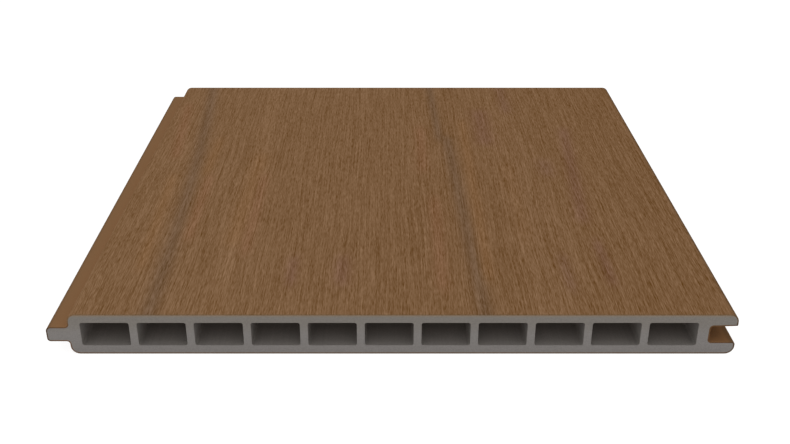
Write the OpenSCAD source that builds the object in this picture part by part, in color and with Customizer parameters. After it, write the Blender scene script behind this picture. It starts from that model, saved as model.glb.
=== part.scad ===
// Composite fence board: one extruded length with a tongue on one long edge, a groove on the
// other and a row of hollow cells between them. The face lies up and the back lies down.
// X runs across the board from tongue to groove, Y along its length and Z from back to face.

/* [Board] */
// Length of the board
board_length = 300; // [150:10:3600]
// Width that one board covers, from the tongue's shoulder to the tips of the lips
cover_width = 300; // [220:1:400]
// Thickness from the back to the face
board_thickness = 21; // [19:0.5:26]
// Radius of the two long edges of the face
face_edge_r = 4; // [0.5:0.1:4.6]
// Radius of the two long edges of the back
back_edge_r = 4; // [0.5:0.1:4.6]

/* [Cells] */
// Number of hollow cells side by side
cell_count = 11; // [6:1:13]
// Thickness of the wall over the cells, at the face
face_wall = 4.5; // [3:0.1:6]
// Thickness of the wall under the cells, at the back
back_wall = 4.5; // [3:0.1:6]
// Thickness of each web between two cells
web = 3.5; // [2:0.1:6]
// Thickness of the wall between the tongue's shoulder and the first cell
shoulder_wall = 5.5; // [4:0.05:9]
// Thickness of the wall between the last cell and the bottom of the groove
groove_wall = 5.5; // [4:0.05:9]
// Radius in the four corners of each cell
cell_r = 1; // [0.2:0.1:2.5]

/* [Tongue] */
// How far the tongue stands out from its shoulder
tongue_reach = 10; // [7:0.5:14]
// Thickness of the tongue
tongue_thickness = 7.5; // [6:0.1:8.5]
// Height of the tongue's underside above the back
tongue_height = 6.7; // [6.3:0.1:7.5]
// Radius of the tip's edge towards the face
tongue_face_r = 2.1; // [0.3:0.1:2.9]
// Radius of the tip's edge towards the back
tongue_back_r = 1.5; // [0.3:0.1:2.9]
// Fillet between the tongue and its shoulder
tongue_root_r = 1.5; // [0.2:0.1:1.7]

/* [Groove] */
// Gap above and below a tongue that lies in the groove
fit_clearance = 0.4; // [0.2:0.05:0.8]
// Gap in front of the tongue's tip when two boards are pushed together
tip_gap = 2; // [0.5:0.1:4]
// Fillet in the two corners at the bottom of the groove
groove_r = 1.3; // [0.3:0.1:2.5]
// Length of the slope under the upper lip that leads a tongue in
lead_in_length = 8; // [3:0.5:9]
// Height by which that slope opens the mouth of the groove
lead_in_rise = 0.3; // [0.1:0.05:0.8]
// Radius on the inner edge of the upper lip's tip
upper_lip_r = 0.4; // [0.1:0.1:1]
// Radius on the inner edge of the lower lip's tip
lower_lip_r = 1.3; // [0.1:0.1:1.6]

/* [Hidden] */
$fn = 64;

overall_width = cover_width + tongue_reach;
shoulder_x = tongue_reach - overall_width / 2;
lip_x = shoulder_x + cover_width;

groove_depth = tongue_reach + tip_gap;
groove_height = tongue_thickness + 2 * fit_clearance;
groove_floor = tongue_height - fit_clearance;
groove_ceiling = groove_floor + groove_height;
groove_x = lip_x - groove_depth;

cell_row = cover_width - shoulder_wall - groove_wall - groove_depth;
cell_width = (cell_row - (cell_count - 1) * web) / cell_count;
cell_height = board_thickness - face_wall - back_wall;

// Distance by which a shape passes the surface that it cuts or fills
overshoot = 1;

// The piece between the corner of a square angle at the origin, whose sides run along +X and +Y,
// and the arc of radius r that touches both sides. It rounds an outer corner and fills an inner one.
module corner_piece(r) {
    difference() {
        translate([-overshoot, -overshoot]) square(r + overshoot);
        translate([r, r]) circle(r);
    }
}

// A rectangle with its lower left corner at the origin and a radius for each of its corners
module rounded_rectangle(size, lower_left = 0, lower_right = 0, upper_right = 0, upper_left = 0) {
    difference() {
        square(size);
        if (lower_left > 0) corner_piece(lower_left);
        if (lower_right > 0) translate([size.x, 0]) mirror([1, 0]) corner_piece(lower_right);
        if (upper_right > 0) translate(size) rotate(180) corner_piece(upper_right);
        if (upper_left > 0) translate([0, size.y]) mirror([0, 1]) corner_piece(upper_left);
    }
}

// The board's width between its shoulder and its lips, before anything is cut from it
module slab_section() {
    translate([shoulder_x, 0])
        rounded_rectangle([cover_width, board_thickness], back_edge_r, back_edge_r, face_edge_r, face_edge_r);
}

// The tongue with its two tip radii, let into the slab as far as the wall behind it goes
module tongue_section() {
    translate([shoulder_x - tongue_reach, tongue_height])
        rounded_rectangle(
            [tongue_reach + shoulder_wall / 2, tongue_thickness],
            lower_left = tongue_back_r,
            upper_left = tongue_face_r
        );
    translate([shoulder_x, tongue_height]) rotate(180) corner_piece(tongue_root_r);
    translate([shoulder_x, tongue_height + tongue_thickness]) mirror([1, 0]) corner_piece(tongue_root_r);
}

// The groove that takes the next board's tongue, open at the lips
module groove_section() {
    translate([groove_x, groove_floor])
        rounded_rectangle(
            [groove_depth + overshoot, groove_height],
            lower_left = groove_r,
            upper_left = groove_r
        );
    lead_in_section();
    translate([lip_x, groove_floor]) rotate(180) corner_piece(lower_lip_r);
    translate([lip_x, groove_ceiling + lead_in_rise]) mirror([1, 0]) corner_piece(upper_lip_r);
}

// The slope under the upper lip
module lead_in_section() {
    polygon([
        [lip_x - lead_in_length, groove_ceiling],
        [lip_x, groove_ceiling + lead_in_rise],
        [lip_x + overshoot, groove_ceiling + lead_in_rise],
        [lip_x + overshoot, groove_ceiling]
    ]);
}

// One hollow cell, with its lower left corner at the origin
module cell_section() {
    rounded_rectangle([cell_width, cell_height], cell_r, cell_r, cell_r, cell_r);
}

module cell_row_section() {
    for (i = [0:cell_count - 1])
        translate([shoulder_x + shoulder_wall + i * (cell_width + web), back_wall]) cell_section();
}

module board_section() {
    difference() {
        union() {
            slab_section();
            tongue_section();
        }
        groove_section();
        cell_row_section();
    }
}

module fence_board() {
    color([0.47, 0.35, 0.24])
        rotate([90, 0, 0])
            linear_extrude(board_length, center = true) board_section();
}

fence_board();
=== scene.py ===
"""A composite fence board: a hollow extruded length with a brown wood-grain cap over a grey core.
It lies on its back. Lengths are in metres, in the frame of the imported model, unless a name says mm."""

import math

import bmesh
import bpy
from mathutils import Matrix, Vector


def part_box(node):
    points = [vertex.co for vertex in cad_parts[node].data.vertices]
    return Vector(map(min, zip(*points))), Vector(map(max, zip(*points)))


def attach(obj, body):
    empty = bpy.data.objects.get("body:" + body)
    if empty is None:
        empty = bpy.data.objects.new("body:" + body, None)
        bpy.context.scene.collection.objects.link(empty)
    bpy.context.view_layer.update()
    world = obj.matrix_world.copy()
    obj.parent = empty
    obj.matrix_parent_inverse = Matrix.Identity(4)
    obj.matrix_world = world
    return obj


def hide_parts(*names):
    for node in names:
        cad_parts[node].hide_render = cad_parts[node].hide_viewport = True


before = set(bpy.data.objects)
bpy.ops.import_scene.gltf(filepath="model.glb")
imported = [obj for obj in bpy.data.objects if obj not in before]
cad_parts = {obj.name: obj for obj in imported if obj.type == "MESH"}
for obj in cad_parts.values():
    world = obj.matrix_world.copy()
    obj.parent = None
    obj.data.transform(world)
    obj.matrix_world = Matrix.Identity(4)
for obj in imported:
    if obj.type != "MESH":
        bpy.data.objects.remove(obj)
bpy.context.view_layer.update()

BOARD = "fence_board"
MM = 0.001

# The board's section. Its outer sizes come from the frame
(LEFT, NEAR, BACK), (RIGHT, FAR, FACE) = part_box(BOARD)
LENGTH = FAR - NEAR
HALF_LENGTH_MM = LENGTH / 2 / MM
FACE_EDGE_R = 4 * MM
BACK_EDGE_R = 4 * MM

TONGUE_REACH = 10 * MM
TONGUE_UNDER = BACK + 6.7 * MM
TONGUE_TOP = TONGUE_UNDER + 7.5 * MM
TONGUE_FACE_R = 2.1 * MM
TONGUE_BACK_R = 1.5 * MM
TONGUE_ROOT_R = 1.5 * MM
SHOULDER = LEFT + TONGUE_REACH

FIT_CLEARANCE = 0.4 * MM
TIP_GAP = 2 * MM
GROOVE_BOTTOM = RIGHT - TONGUE_REACH - TIP_GAP
GROOVE_FLOOR = TONGUE_UNDER - FIT_CLEARANCE
GROOVE_CEILING = TONGUE_TOP + FIT_CLEARANCE
GROOVE_R = 1.3 * MM
LEAD_IN_LENGTH = 8 * MM
LEAD_IN_RISE = 0.3 * MM
UPPER_LIP_R = 0.4 * MM
LOWER_LIP_R = 1.3 * MM

CELLS = 11
WEB = 3.5 * MM
CELL_WALL = 4.5 * MM
SIDE_WALL = 5.5 * MM
CELL_R = 1 * MM
FIRST_CELL = SHOULDER + SIDE_WALL
LAST_CELL = GROOVE_BOTTOM - SIDE_WALL
CELL_WIDTH = (LAST_CELL - FIRST_CELL - (CELLS - 1) * WEB) / CELLS
CELL_HEIGHT = FACE - BACK - 2 * CELL_WALL

# The cap is the coloured layer that is extruded round the whole outline
CAP = 0.6 * MM
SEAM_HEIGHT = (TONGUE_UNDER + TONGUE_TOP) / 2

# How finely the meshes are divided, and how close counts as the same point or the same level
CORNER_SEGMENTS = 6
FINE_STEP = 0.6 * MM
COARSE_STEP = 6 * MM
ROWS = 76
MERGE_DISTANCE = 0.001 * MM
SMOOTH_ANGLE = math.radians(35)
LEVEL_SLACK = 0.01 * MM

# The cap's own map for its baked pictures. The long faces lie at the bottom of it and a strip for
# each end at the top. A hidden face gets only a small share of its width
BAKE_MAP = "OFBake"
LONG_FACES_TOP = 0.9
NEAR_STRIP = 0.91
FAR_STRIP = 0.955
STRIP_HEIGHT = 0.035
MAP_MARGIN = 0.005
HIDDEN_ROOM = 0.03

# The grain that is pressed into the face. Each noise's spots are given by their width and length in
# mm, the noise's detail and roughness, and an offset that sets it apart from the others
RELIEF_DEPTH = 0.07 * MM
RELIEF_FADE = 3 * MM
RELIEF_SPOTS = (1.6, 45, 2.0, 0.5, 3.7)
RELIEF_STEP = (0.35, 0.7)

# Colours, as linear red, green and blue. The cap's streaks lie between the first two
DARKEST_STREAK = (0.095, 0.037, 0.004, 1)
LIGHTEST_STREAK = (0.285, 0.169, 0.093, 1)
CUT_GREY = (0.226, 0.210, 0.199, 1)
CUT_GREY_BY_FACE = (0.209, 0.190, 0.170, 1)
SMEARED_BROWN = (0.240, 0.187, 0.135, 1)
CELL_MOUTH = (0.195, 0.178, 0.163, 1)
# Painted light: the cells' walls grow lighter from their own grey at the mouths to this deeper in
CELL_DEPTH_PAINTED_LIGHT = (0.280, 0.235, 0.204, 1)

# What the bands in the grain multiply the brown by, and the painted light and shade on the cap:
# lighter below the face by the tongue's shoulder, darker on the rounded edges and the cut ends
PLAIN = (1, 1, 1, 1)
DARK = (0.84, 0.88, 0.98, 1)
PINK = (1.09, 1.03, 1.07, 1)
YELLOW = (1.08, 1.05, 1.0, 1)
PALE = (1.065, 1.075, 1.095, 1)
PURPLE = (0.96, 0.925, 1.09, 1)
LILAC = (0.995, 0.995, 1.16, 1)
FADED = (1.035, 1.045, 1.07, 1)
# Painted light on the cap below the face, from the tongue's shoulder rightwards, against the shade there
SHOULDER_PAINTED_LIGHT = (1.16, 1.12, 1.09, 1)
# Painted shade on the rounded edges
EDGE_SHADE_TINT = (0.68, 0.72, 0.76, 1)
# Painted shade on the cap's cut ends; the second makes the rim near the face less dark and bluer
CAP_END_SHADE = (0.62, 0.64, 0.68, 1)
CAP_END_SHADE_BY_FACE = (0.97, 1.07, 1.18, 1)

# The bands, in mm: the middle at half length, slant, bow, half width, the two ends along Y, and tint
BANDS = (
    (-114, -0.057, -0.000127, 4.3, -170, 170, DARK),
    (-127, -0.086, 0, 3.5, 25, 115, PINK),
    (-125.4, -0.042, 0, 3, -110, 0, YELLOW),
    (-106.5, 0, 0, 3, 0, 55, YELLOW),
    (-104, -0.01, 0, 3, -80, 0, PINK),
    (32.2, -0.03, 0, 3, 52, 170, DARK),
    (37.1, -0.032, 0, 4, -170, 58, DARK),
    (19, 0, 0, 3.5, 5, 75, PINK),
    (24, 0, 0, 3.5, -130, -30, PINK),
    (46.5, 0, 0, 3, -120, 85, YELLOW),
    (-79, 0, 0, 5, -170, 170, PALE),
    (-78, 0.02, 0, 5, -85, 30, YELLOW),
    (-72.5, 0, 0, 3, -95, 0, PINK),
    (70, 0, 0, 5, -170, 170, PALE),
    (71, 0, 0, 5, -80, 15, YELLOW),
    (78, 0, 0, 13, -170, 170, FADED),
    (59, 0, 0, 6, 45, 105, PURPLE),
    (77.5, 0, 0, 4, 100, 170, LILAC),
    (105.5, 0.075, 0, 4, -60, 72, PURPLE),
    (91, 0, 0, 5, -2, 22, LILAC),
    (104, 0, 0, 3, -125, -80, PURPLE),
    (84, 0, 0, 3, -130, -95, LILAC),
    (-47.5, 0, 0, 3, -125, -97, PURPLE),
    (-23.5, 0, 0, 4, -125, -97, PURPLE),
)
BAND_FADE_MM = 8

# The noises that add up to the streaks, each with its weight, the sway that bends the streaks and
# the slow darkening from the tongue to the groove
STREAKS = (
    ((0.42, 5.5, 2.0, 0.55, 1.9), 1.07),
    ((0.24, 3.0, 1.0, 0.5, 5.1), 0.74),
    ((0.5, 28, 2.0, 0.5, 14.6), 0.9),
    ((1.0, 120, 3.0, 0.6, 8.2), 0.5),
)
SWAY_SPOTS = (30, 110, 1.0, 0.5, 11.3)
SWAY_MM = 4
DARKER_PER_MM = 0.0003

# The noises on the core, and how much each of them varies its grey
SPECK_SPOTS = (0.5, 0.5, 2.0, 0.6, 2.3)
SAW_MARK_SPOTS = (6, 6, 2.0, 0.5, 7.9)
DIE_LINE_SPOTS = (0.9, 250, 1.0, 0.5, 4.4)
SPECK_CONTRAST = 0.5
SAW_MARK_CONTRAST = 0.1
DIE_LINE_CONTRAST = 0.16
SAW_MARK_STRETCH_ALONG = 0.1
SAW_MARK_STRETCH_UP = 12

# Where each mask goes from 0 to 1, in mm: at which height, how far left or right, or along
GRAINED_UP = (15, 18)
# The painted light below the face grows from the tongue's tip to its shoulder
SHOULDER_LIGHT_ACROSS = (-154.5, -146)
# Painted shade on the face's right edge, the tongue's tip and the far end
EDGE_SHADE_RIGHT = (151.2, 153.7)
EDGE_SHADE_LEFT = (152.2, 154.7)
EDGE_SHADE_FAR = (148.5, 150)
SAWN_FROM = (HALF_LENGTH_MM - 0.02, HALF_LENGTH_MM - 0.01)
# The painted light in the cells grows over the first 28 mm in from each end
CELL_LIGHT_INWARDS = (0, 28)
CUT_BY_FACE_UP = (9, 17)
SMEARED_UP = (19, 20.6)

# How the surfaces scatter light
CAP_ROUGHNESS = 0.7
STREAK_ROUGHNESS = 0.3
CELL_ROUGHNESS = 0.75
SAWN_ROUGHER = 0.1
SPECK_ROUGHNESS = 0.2
BUMP_STRENGTH = 0.3
BUMP_DEPTH = 0.03 * MM

# The floor lies just under the board and looks nearly white to the camera
FLOOR_REACH = 4.0
FLOOR_LEVEL = BACK - 0.05 * MM
FLOOR_WHITE = (0.8, 0.8, 0.8, 1)
FLOOR_SHADED = (0.2, 0.2, 0.2, 1)
FLOOR_GLOW = 0.9

# The camera: its lens in the photograph's pixels, and its place against the board's near end
PHOTO_WIDTH_PX = 790
FOCAL_LENGTH_PX = 1000
SHIFT_PX = 7.4
SENSOR_WIDTH_MM = 36
CAMERA_ACROSS = -1.73 * MM
CAMERA_BEFORE = 376.95 * MM
CAMERA_UP = 259.9 * MM
CAMERA_DOWN_DEG = 27.09


class Value:
    """A socket whose sums and products are Math nodes."""

    def __init__(self, graph, socket):
        self.graph = graph
        self.socket = socket

    def maths(self, operation, first, second=0.0):
        return self.graph.make("ShaderNodeMath", {"operation": operation}, {0: first, 1: second})

    def __add__(self, other):
        return self.maths("ADD", self, other)

    def __radd__(self, other):
        return self.maths("ADD", other, self)

    def __sub__(self, other):
        return self.maths("SUBTRACT", self, other)

    def __rsub__(self, other):
        return self.maths("SUBTRACT", other, self)

    def __mul__(self, other):
        return self.maths("MULTIPLY", self, other)

    def __rmul__(self, other):
        return self.maths("MULTIPLY", other, self)

    def __truediv__(self, other):
        return self.maths("DIVIDE", self, other)

    def __neg__(self):
        return self.maths("SUBTRACT", 0.0, self)

    def __abs__(self):
        return self.maths("ABSOLUTE", self)

    def exponential(self):
        return self.maths("EXPONENT", self)


class Graph:
    """A node tree, shader or geometry, to which make() adds every node."""

    def __init__(self, tree):
        self.tree = tree

    def make(self, kind, settings=None, values=None, output=0):
        """Adds a node: its settings first, then its sockets' values or links. Returns one output."""
        node = self.tree.nodes.new(kind)
        for name, setting in (settings or {}).items():
            setattr(node, name, setting)
        for name, value in (values or {}).items():
            for one in value if isinstance(value, list) else [value]:
                if isinstance(one, Value):
                    self.tree.links.new(one.socket, node.inputs[name])
                else:
                    node.inputs[name].default_value = one
        return Value(self, node.outputs[output])

    def smooth_step(self, value, low, high):
        """0 below low, 1 above high and an S curve between them."""
        settings = {"interpolation_type": "SMOOTHSTEP"}
        return self.make(
            "ShaderNodeMapRange", settings, {"Value": value, "From Min": low, "From Max": high}
        )

    def split(self, vector):
        """The X, Y and Z of a vector."""
        return [self.make("ShaderNodeSeparateXYZ", None, {0: vector}, i) for i in range(3)]

    def joined(self, x, y, z):
        return self.make("ShaderNodeCombineXYZ", None, {0: x, 1: y, 2: z})

    def scaled(self, vector, factor):
        return self.make("ShaderNodeVectorMath", {"operation": "SCALE"}, {0: vector, "Scale": factor})

    def stretched(self, vector, factors):
        return self.make("ShaderNodeVectorMath", {"operation": "MULTIPLY"}, {0: vector, 1: factors})

    def mixed(self, first, second, factor):
        """A colour between first and second."""
        settings = {"data_type": "RGBA"}
        return self.make("ShaderNodeMix", settings, {0: factor, 6: first, 7: second}, 2)

    def noise(self, place_mm, across, along, detail, roughness, offset):
        """Noise from 0 to 1 whose spots are about across wide and along long, in mm."""
        stretch = self.stretched(place_mm, (1 / across, 1 / along, 1 / across))
        moved = self.make("ShaderNodeVectorMath", {"operation": "ADD"}, {0: stretch, 1: (offset,) * 3})
        return self.make(
            "ShaderNodeTexNoise",
            None,
            {"Vector": moved, "Scale": 1.0, "Detail": detail, "Roughness": roughness},
        )

    def ripple(self, place_mm, spots):
        """The noise with these spots, from -0.5 to 0.5."""
        return self.noise(place_mm, *spots) - 0.5


# Section corners are (across, up, radius), anticlockwise as seen from the near end


def face_side():
    """The outline from the bottom of the groove over the face to the tip of the tongue."""
    return [
        (GROOVE_BOTTOM, GROOVE_CEILING, GROOVE_R),
        (RIGHT - LEAD_IN_LENGTH, GROOVE_CEILING, 0),
        (RIGHT, GROOVE_CEILING + LEAD_IN_RISE, UPPER_LIP_R),
        (RIGHT, FACE, FACE_EDGE_R),
        (SHOULDER, FACE, FACE_EDGE_R),
        (SHOULDER, TONGUE_TOP, TONGUE_ROOT_R),
        (LEFT, TONGUE_TOP, TONGUE_FACE_R),
    ]


def back_side():
    """The outline from the tip of the tongue under the back to the bottom of the groove."""
    return [
        (LEFT, TONGUE_UNDER, TONGUE_BACK_R),
        (SHOULDER, TONGUE_UNDER, TONGUE_ROOT_R),
        (SHOULDER, BACK, BACK_EDGE_R),
        (RIGHT, BACK, BACK_EDGE_R),
        (RIGHT, GROOVE_FLOOR, LOWER_LIP_R),
        (GROOVE_BOTTOM, GROOVE_FLOOR, GROOVE_R),
    ]


def left_normal(start, end):
    """The unit vector to the left of the way from one corner to the next."""
    across, up = end[0] - start[0], end[1] - start[1]
    length = math.hypot(across, up)
    return -up / length, across / length


def inset(corners, distance):
    """The outline that lies distance further in. Outer radii shrink and inner ones grow."""
    result = []
    for i, (across, up, radius) in enumerate(corners):
        before = left_normal(corners[i - 1], corners[i])
        after = left_normal(corners[i], corners[(i + 1) % len(corners)])
        turns_left = before[0] * after[1] - before[1] * after[0] > 0
        reach = distance / (1 + before[0] * after[0] + before[1] * after[1])
        result.append(
            (
                across + (before[0] + after[0]) * reach,
                up + (before[1] + after[1]) * reach,
                max(radius - distance, 0) if turns_left else radius + distance,
            )
        )
    return result


def cap_loops():
    """The closed outlines of the cap's two halves, which meet at the tongue's tip and in the groove."""
    face, back = face_side(), back_side()
    inner = inset(face + back, CAP)
    inner_face, inner_back = inner[: len(face)], inner[len(face) :]
    groove_seam = [(GROOVE_BOTTOM - CAP, SEAM_HEIGHT, 0), (GROOVE_BOTTOM, SEAM_HEIGHT, 0)]
    tongue_seam = [(LEFT, SEAM_HEIGHT, 0), (LEFT + CAP, SEAM_HEIGHT, 0)]
    over_face = groove_seam + face + tongue_seam + inner_face[::-1]
    under_back = tongue_seam[::-1] + back + groove_seam[::-1] + inner_back[::-1]
    return over_face, under_back


def loop_mesh(name, corners):
    """A ring of edges through the corners, each of which carries its radius."""
    mesh = bpy.data.meshes.new(name)
    count = len(corners)
    edges = [(i, (i + 1) % count) for i in range(count)]
    mesh.from_pydata([(across, up, 0) for across, up, radius in corners], edges, [])
    radii = mesh.attributes.new("radius", "FLOAT", "POINT")
    radii.data.foreach_set("value", [radius for across, up, radius in corners])
    return mesh


SECTION_INPUTS = {
    "Length": "NodeSocketFloat",
    "Rows": "NodeSocketInt",
    "Cells": "NodeSocketInt",
    "Cell width": "NodeSocketFloat",
    "Cell height": "NodeSocketFloat",
    "Cell radius": "NodeSocketFloat",
    "Cell pitch": "NodeSocketFloat",
    "First cell middle": "NodeSocketVector",
    "Face height": "NodeSocketFloat",
    "Relief depth": "NodeSocketFloat",
    "Material": "NodeSocketMaterial",
}


def section_tree():
    """Geometry nodes that round a ring's corners, cut a row of cells in it and extrude it along Y."""
    tree = bpy.data.node_groups.new("Extruded section", "GeometryNodeTree")
    tree.interface.new_socket("Outline", in_out="INPUT", socket_type="NodeSocketGeometry")
    for name, kind in SECTION_INPUTS.items():
        tree.interface.new_socket(name, in_out="INPUT", socket_type=kind)
    tree.interface.new_socket("Board", in_out="OUTPUT", socket_type="NodeSocketGeometry")
    g = Graph(tree)
    entry = tree.nodes.new("NodeGroupInput")
    given = {socket.name: Value(g, socket) for socket in entry.outputs}

    outline = rounded_outline(g, given)
    curves = g.make("GeometryNodeJoinGeometry", None, {0: [outline, cell_row(g, given)]})
    sides = swept_sides(g, given, curves)
    whole = g.make("GeometryNodeJoinGeometry", None, {0: [sides, *filled_ends(g, given, curves)]})
    merged = g.make(
        "GeometryNodeMergeByDistance", None, {"Geometry": whole, "Distance": MERGE_DISTANCE}
    )
    pressed = pressed_grain(g, given, merged)
    standing = g.make(
        "GeometryNodeTransform", None, {"Geometry": pressed, "Rotation": (math.radians(90), 0, 0)}
    )
    real = g.make("GeometryNodeRealizeInstances", None, {0: standing})
    finished = g.make(
        "GeometryNodeSetMaterial", None, {"Geometry": real, "Material": given["Material"]}
    )
    tree.links.new(finished.socket, tree.nodes.new("NodeGroupOutput").inputs[0])
    return tree


def rounded_outline(g, given):
    """The ring as a curve with its radii, with points close together along the face."""
    curve = g.make("GeometryNodeMeshToCurve", None, {"Mesh": given["Outline"]})
    radius = g.make("GeometryNodeInputNamedAttribute", {"data_type": "FLOAT"}, {"Name": "radius"})
    fillet = {"Curve": curve, "Count": CORNER_SEGMENTS, "Radius": radius}
    rounded = g.make("GeometryNodeFilletCurve", {"mode": "POLY"}, fillet)
    here = g.make("GeometryNodeInputPosition")
    next_point = g.make("GeometryNodeOffsetPointInCurve", None, {"Offset": 1}, 1)
    settings = {"data_type": "FLOAT_VECTOR", "domain": "POINT"}
    there = g.make("GeometryNodeFieldAtIndex", settings, {"Value": here, "Index": next_point})
    span = g.make("ShaderNodeVectorMath", {"operation": "DISTANCE"}, {0: here, 1: there}, 1)
    levels = [g.split(here)[1], g.split(there)[1]]
    lowest = g.make("ShaderNodeMath", {"operation": "MINIMUM"}, {0: levels[0], 1: levels[1]})
    face_level = given["Face height"] - LEVEL_SLACK
    on_face = g.make("ShaderNodeMath", {"operation": "GREATER_THAN"}, {0: lowest, 1: face_level})
    step = COARSE_STEP - on_face * (COARSE_STEP - FINE_STEP)
    return g.make("GeometryNodeSubdivideCurve", None, {"Curve": rounded, "Cuts": span / step})


def cell_row(g, given):
    """The outlines of the hollow cells."""
    box = g.make(
        "GeometryNodeCurvePrimitiveQuadrilateral",
        {"mode": "RECTANGLE"},
        {"Width": given["Cell width"], "Height": given["Cell height"]},
    )
    fillet = {"Curve": box, "Count": CORNER_SEGMENTS, "Radius": given["Cell radius"]}
    cell = g.make("GeometryNodeFilletCurve", {"mode": "POLY"}, fillet)
    offset = g.joined(given["Cell pitch"], 0.0, 0.0)
    places = g.make(
        "GeometryNodeMeshLine",
        {"mode": "OFFSET", "count_mode": "TOTAL"},
        {"Count": given["Cells"], "Start Location": given["First cell middle"], "Offset": offset},
    )
    cells = g.make("GeometryNodeInstanceOnPoints", None, {"Points": places, "Instance": cell})
    return g.make("GeometryNodeRealizeInstances", None, {0: cells})


def swept_sides(g, given, curves):
    """The long faces, between the two ends."""
    half = given["Length"] * 0.5
    line = g.make(
        "GeometryNodeCurvePrimitiveLine",
        {"mode": "POINTS"},
        {"Start": g.joined(0.0, 0.0, -half), "End": g.joined(0.0, 0.0, half)},
    )
    path = g.make(
        "GeometryNodeResampleCurve", {"mode": "COUNT"}, {"Curve": line, "Count": given["Rows"]}
    )
    sides = g.make("GeometryNodeCurveToMesh", None, {"Curve": path, "Profile Curve": curves})
    angle = g.make("GeometryNodeInputMeshEdgeAngle")
    gentle = g.make("ShaderNodeMath", {"operation": "LESS_THAN"}, {0: angle, 1: SMOOTH_ANGLE})
    return g.make(
        "GeometryNodeSetShadeSmooth", {"domain": "EDGE"}, {"Geometry": sides, "Shade Smooth": gentle}
    )


def filled_ends(g, given, curves):
    """The two flat ends, with the cells left open."""
    flat = g.make("GeometryNodeFillCurve", {"mode": "TRIANGLES"}, {"Curve": curves})
    dull = g.make(
        "GeometryNodeSetShadeSmooth", {"domain": "FACE"}, {"Geometry": flat, "Shade Smooth": False}
    )
    half = given["Length"] * 0.5
    return [
        g.make("GeometryNodeTransform", None, {"Geometry": dull, "Translation": g.joined(0.0, 0.0, end)})
        for end in (half, -half)
    ]


def pressed_grain(g, given, board):
    """Shallow valleys along the face, which fade out at its edges and at the ends."""
    place = g.make("GeometryNodeInputPosition")
    across, up, along = g.split(place)
    place_mm = g.scaled(g.joined(across, -along, up), 1 / MM)
    valley = g.smooth_step(g.noise(place_mm, *RELIEF_SPOTS), *RELIEF_STEP)
    level = given["Face height"]
    on_face = g.smooth_step(up, level - 2 * LEVEL_SLACK, level - LEVEL_SLACK)
    half = given["Length"] * 0.5
    from_end = g.smooth_step(half - abs(along), 0.0, RELIEF_FADE)
    edge = SHOULDER + FACE_EDGE_R
    from_left = g.smooth_step(across, edge, edge + RELIEF_FADE)
    from_right = g.smooth_step(RIGHT - across, FACE_EDGE_R, FACE_EDGE_R + RELIEF_FADE)
    depth = valley * given["Relief depth"] * on_face * from_end * from_left * from_right
    return g.make(
        "GeometryNodeSetPosition", None, {"Geometry": board, "Offset": g.joined(0.0, -depth, 0.0)}
    )


def extruded(name, tree, corners, values):
    """A closed piece of the board made by the tree, as a plain mesh in its place."""
    ring = bpy.data.objects.new(name + "_ring", loop_mesh(name + "_ring", corners))
    bpy.context.scene.collection.objects.link(ring)
    modifier = ring.modifiers.new("Section", "NODES")
    modifier.node_group = tree
    for socket in tree.interface.items_tree:
        if socket.name in values:
            modifier[socket.identifier] = values[socket.name]
    evaluated = ring.evaluated_get(bpy.context.evaluated_depsgraph_get())
    mesh = bpy.data.meshes.new_from_object(evaluated)
    mesh.name = name
    ring.modifiers.remove(modifier)
    bpy.data.objects.remove(ring)

    shape = bmesh.new()
    shape.from_mesh(mesh)
    bmesh.ops.recalc_face_normals(shape, faces=shape.faces)
    shape.to_mesh(mesh)
    shape.free()
    piece = bpy.data.objects.new(name, mesh)
    bpy.context.scene.collection.objects.link(piece)
    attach(piece, "root")
    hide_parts(BOARD)
    return piece


def lay_out_for_baking(mesh):
    """Adds a map for the baked pictures, in which what shows gets nearly all the room.

    The mesh's vertices lie in rows round the outline. A row starts at the groove's seam, runs over
    the face to the tongue's seam and comes back along the hidden side.
    """
    columns = len(mesh.vertices) // ROWS
    reach = reach_round(mesh, columns)
    places = mesh.uv_layers.new(name=BAKE_MAP).data
    for face in mesh.polygons:
        corners = [mesh.loops[loop].vertex_index for loop in face.loop_indices]
        spots = [mesh.vertices[corner].co for corner in corners]
        levels = [spot.y for spot in spots]
        is_end = max(levels) - min(levels) < LEVEL_SLACK
        closes = {0, columns - 1} <= {corner % columns for corner in corners}
        for loop, corner, spot in zip(face.loop_indices, corners, spots):
            column = corner % columns
            round_outline = 1 - reach[columns if closes and column == 0 else column]
            across, along = place_on_strip(spot) if is_end else place_on_side(round_outline, spot)
            places[loop].uv = (MAP_MARGIN + across * (1 - 2 * MAP_MARGIN), along)


def reach_round(mesh, columns):
    """How far round the outline each column of vertices lies, from 0 to 1, hidden faces narrowed."""
    outline = [vertex.co.copy() for vertex in mesh.vertices[:columns]]
    from_tip = [math.hypot(spot.x - LEFT, spot.z - SEAM_HEIGHT) for spot in outline]
    tip = from_tip.index(min(from_tip))
    reach = [0]
    for i, spot in enumerate(outline):
        step = (outline[(i + 1) % columns] - spot).length
        reach.append(reach[-1] + step * (1 if 1 <= i < tip else HIDDEN_ROOM))
    return [distance / reach[-1] for distance in reach]


def place_on_side(round_outline, spot):
    """Where a corner of a long face lies on the map."""
    return round_outline, MAP_MARGIN + (spot.y - NEAR) / LENGTH * (LONG_FACES_TOP - MAP_MARGIN)


def place_on_strip(spot):
    """Where a corner of an end face lies on the map."""
    is_near = spot.y < 0
    across = (spot.x - LEFT if is_near else RIGHT - spot.x) / (RIGHT - LEFT)
    up = (spot.z - SEAM_HEIGHT) / (FACE - SEAM_HEIGHT)
    return across, (NEAR_STRIP if is_near else FAR_STRIP) + up * STRIP_HEIGHT


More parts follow.
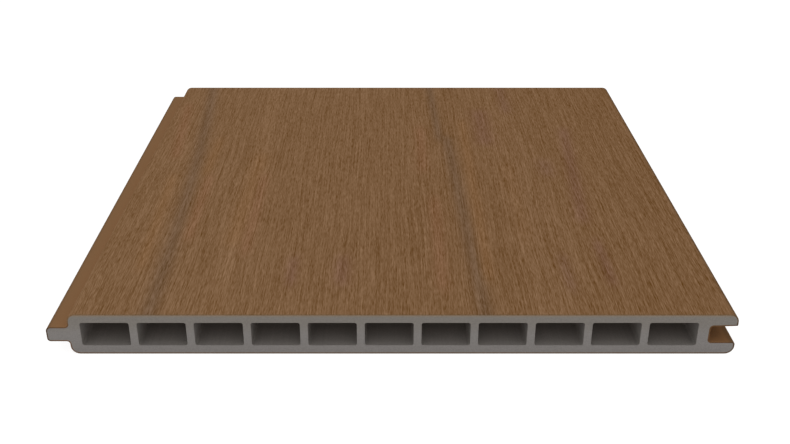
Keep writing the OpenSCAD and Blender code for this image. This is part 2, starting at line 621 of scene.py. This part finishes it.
def surface(name):
    """A new material's graph, its Principled shader's inputs and a place on the piece in mm."""
    material = bpy.data.materials.new(name)
    material.use_nodes = True
    g = Graph(material.node_tree)
    shader = material.node_tree.nodes["Principled BSDF"]
    place = g.make("ShaderNodeTexCoord", None, None, "Object")
    return material, g, shader.inputs, g.scaled(place, 1 / MM)


def dress(g, inputs, colour, roughness, height):
    """Feeds what changes over a surface to its shader. The board is dull, so it has no highlight."""
    values = {"Strength": BUMP_STRENGTH, "Distance": BUMP_DEPTH, "Height": height}
    bump = g.make("ShaderNodeBump", None, values)
    for name, value in {"Base Color": colour, "Roughness": roughness, "Normal": bump}.items():
        g.tree.links.new(value.socket, inputs[name])
    inputs["Specular IOR Level"].default_value = 0


def sawn_mask(g, along):
    """1 on the two sawn ends and 0 between them."""
    return g.smooth_step(abs(along), *SAWN_FROM)


def cap_material():
    """The brown cap: wood-grain streaks and faint bands, with painted shade and painted light."""
    material, g, inputs, place = surface("wood_grain_cap")
    across, along, up = g.split(place)

    flow = g.joined(across + g.ripple(place, SWAY_SPOTS) * SWAY_MM, along, up)
    grained = g.smooth_step(up, *GRAINED_UP)
    streaks = sum(g.ripple(flow, spots) * weight for spots, weight in STREAKS)
    light = streaks * grained + across * -DARKER_PER_MM
    colour = g.mixed(DARKEST_STREAK, LIGHTEST_STREAK, 0.5 + light)

    # Painted shade darkens the face's right edge, the tongue's tip and the far end
    edge_shade = g.smooth_step(across, *EDGE_SHADE_RIGHT) + g.smooth_step(-across, *EDGE_SHADE_LEFT)
    # Painted light below the face, rising along the tongue to its shoulder, evens out the shade there
    shoulder_light = g.smooth_step(across, *SHOULDER_LIGHT_ACROSS) * (1 - grained)
    tints = (
        band_tint(g, across, along, grained),
        g.mixed(PLAIN, SHOULDER_PAINTED_LIGHT, shoulder_light),
        g.mixed(PLAIN, EDGE_SHADE_TINT, edge_shade + g.smooth_step(along, *EDGE_SHADE_FAR)),
        # Painted shade on the cap's cut ends
        g.mixed(PLAIN, g.mixed(CAP_END_SHADE, CAP_END_SHADE_BY_FACE, grained), sawn_mask(g, along)),
    )
    for tint in tints:
        colour = g.stretched(colour, tint)
    dress(g, inputs, colour, CAP_ROUGHNESS - light * STREAK_ROUGHNESS, light)
    return material


def band_tint(g, across, along, grained):
    """What the brown is multiplied by, from the bands that run along the face."""
    tint = PLAIN
    for middle, slant, bow, half_width, start, end, colour in BANDS:
        distance = across - (middle + along * slant + along * along * bow)
        share = distance / half_width
        mask = (-(share * share)).exponential() * grained
        if start > -HALF_LENGTH_MM:
            mask = mask * g.smooth_step(along, start - BAND_FADE_MM, start + BAND_FADE_MM)
        if end < HALF_LENGTH_MM:
            mask = mask * g.smooth_step(-along, -end - BAND_FADE_MM, -end + BAND_FADE_MM)
        tint = g.mixed(tint, colour, mask)
    return tint


def core_material():
    """The grey core: sawn on the ends and smooth inside the cells, with painted light deeper in them."""
    material, g, inputs, place = surface("grey_core")
    across, along, up = g.split(place)
    sawn = sawn_mask(g, along)
    # Painted light inside the cells: their walls grow lighter over the first 28 mm in from each end
    deeper_light = g.smooth_step(HALF_LENGTH_MM - abs(along), *CELL_LIGHT_INWARDS)
    cell = g.mixed(CELL_MOUTH, CELL_DEPTH_PAINTED_LIGHT, deeper_light)
    cut = g.mixed(CUT_GREY, CUT_GREY_BY_FACE, g.smooth_step(up, *CUT_BY_FACE_UP))
    cut = g.mixed(cut, SMEARED_BROWN, g.smooth_step(up, *SMEARED_UP))
    grey = g.mixed(cell, cut, sawn)

    saw_place = g.joined(across, along * SAW_MARK_STRETCH_ALONG, up * SAW_MARK_STRETCH_UP)
    speck = g.ripple(place, SPECK_SPOTS)
    saw_mark = g.ripple(saw_place, SAW_MARK_SPOTS) * sawn
    die_line = g.ripple(place, DIE_LINE_SPOTS) * (1 - sawn)
    uneven = speck * SPECK_CONTRAST + saw_mark * SAW_MARK_CONTRAST + die_line * DIE_LINE_CONTRAST
    roughness = CELL_ROUGHNESS + sawn * SAWN_ROUGHER - speck * SPECK_ROUGHNESS
    dress(g, inputs, g.scaled(grey, 1 + uneven), roughness, speck + saw_mark + die_line)
    return material


def make_board():
    tree = section_tree()
    cap, core = cap_material(), core_material()
    over_face, under_back = cap_loops()
    shared = {"Length": LENGTH, "Rows": ROWS, "Face height": FACE}
    pressed = {**shared, "Relief depth": RELIEF_DEPTH, "Material": cap}
    lay_out_for_baking(extruded("cap_face", tree, over_face, pressed).data)
    extruded("cap_back", tree, under_back, {**shared, "Material": cap})
    cells = {
        "Cells": CELLS,
        "Cell width": CELL_WIDTH,
        "Cell height": CELL_HEIGHT,
        "Cell radius": CELL_R,
        "Cell pitch": CELL_WIDTH + WEB,
        "First cell middle": (FIRST_CELL + CELL_WIDTH / 2, BACK + CELL_WALL + CELL_HEIGHT / 2, 0),
    }
    inner = inset(face_side() + back_side(), CAP)
    extruded("core", tree, inner, {**shared, **cells, "Material": core})


def make_floor():
    """A white floor that takes a faint shadow."""
    mesh = bpy.data.meshes.new("floor")
    ways = ((-1, -1), (1, -1), (1, 1), (-1, 1))
    corners = [(x * FLOOR_REACH, y * FLOOR_REACH, FLOOR_LEVEL) for x, y in ways]
    mesh.from_pydata(corners, [], [(0, 1, 2, 3)])
    floor = bpy.data.objects.new("floor", mesh)
    bpy.context.scene.collection.objects.link(floor)
    material = bpy.data.materials.new("white_floor")
    material.use_nodes = True
    g = Graph(material.node_tree)
    plain = g.make("ShaderNodeBsdfDiffuse", None, {"Color": FLOOR_WHITE})
    shown = g.make("ShaderNodeBsdfDiffuse", None, {"Color": FLOOR_SHADED})
    glow = g.make("ShaderNodeEmission", None, {"Color": (1, 1, 1, 1), "Strength": FLOOR_GLOW})
    both = g.make("ShaderNodeAddShader", None, {0: shown, 1: glow})
    rays = ("Is Camera Ray", "Is Glossy Ray", "Is Transmission Ray")
    camera, glossy, transmission = (g.make("ShaderNodeLightPath", None, None, ray) for ray in rays)
    mix = g.make("ShaderNodeMixShader", None, {0: camera + glossy + transmission, 1: plain, 2: both})
    g.tree.links.new(mix.socket, g.tree.nodes["Material Output"].inputs["Surface"])
    mesh.materials.append(material)


def make_light():
    """An even white sky, like a light tent."""
    world = bpy.data.worlds.new("light_tent")
    world.use_nodes = True
    bpy.context.scene.world = world
    background = world.node_tree.nodes["Background"]
    background.inputs["Color"].default_value = (1, 1, 1, 1)
    background.inputs["Strength"].default_value = 1.0


def make_camera():
    """The photograph's view: level, looking along the board and 27 degrees down."""
    data = bpy.data.cameras.new("camera")
    data.sensor_width = SENSOR_WIDTH_MM
    data.lens = FOCAL_LENGTH_PX / PHOTO_WIDTH_PX * SENSOR_WIDTH_MM
    data.shift_x = SHIFT_PX / PHOTO_WIDTH_PX
    data.clip_start = 0.01
    camera = bpy.data.objects.new("camera", data)
    camera.location = (CAMERA_ACROSS, NEAR - CAMERA_BEFORE, CAMERA_UP)
    camera.rotation_euler = (math.radians(90 - CAMERA_DOWN_DEG), 0, 0)
    bpy.context.scene.collection.objects.link(camera)
    bpy.context.scene.camera = camera


make_board()
make_floor()
make_light()
make_camera()
bpy.context.scene.view_settings.view_transform = "Standard"
